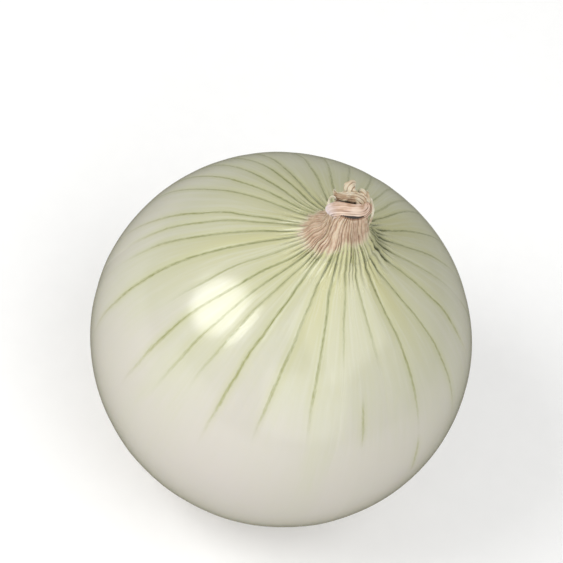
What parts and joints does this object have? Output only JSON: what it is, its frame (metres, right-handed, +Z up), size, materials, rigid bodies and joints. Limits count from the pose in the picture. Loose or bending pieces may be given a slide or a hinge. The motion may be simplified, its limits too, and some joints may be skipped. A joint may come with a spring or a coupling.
{
  "type": "onion",
  "caption": "Fresh white onion: a near-round fleshy bulb on a flat root end, its shoulder drawn up into fine pleats round a short dried neck with leaf ends folded over the top.",
  "frame": {"origin": "middle of the flat underside of the root plate that the onion stands on, which is the bottom centre of its box", "axes": "+Z up along the bulb's axis towards the neck; -Y towards the front, the side that the folded neck faces"},
  "size_m": [0.088, 0.0879, 0.0982],
  "materials": {
    "skin": "moist satin, whitish green with green veins",
    "dried_leaf": "dry, matt, papery tan",
    "dried_root": "dry, fibrous, brown"
  },
  "bodies": {
    "root": {"bulb": "skin", "neck": "dried_leaf", "root_plate": "dried_root"}
  },
  "joints": []
}
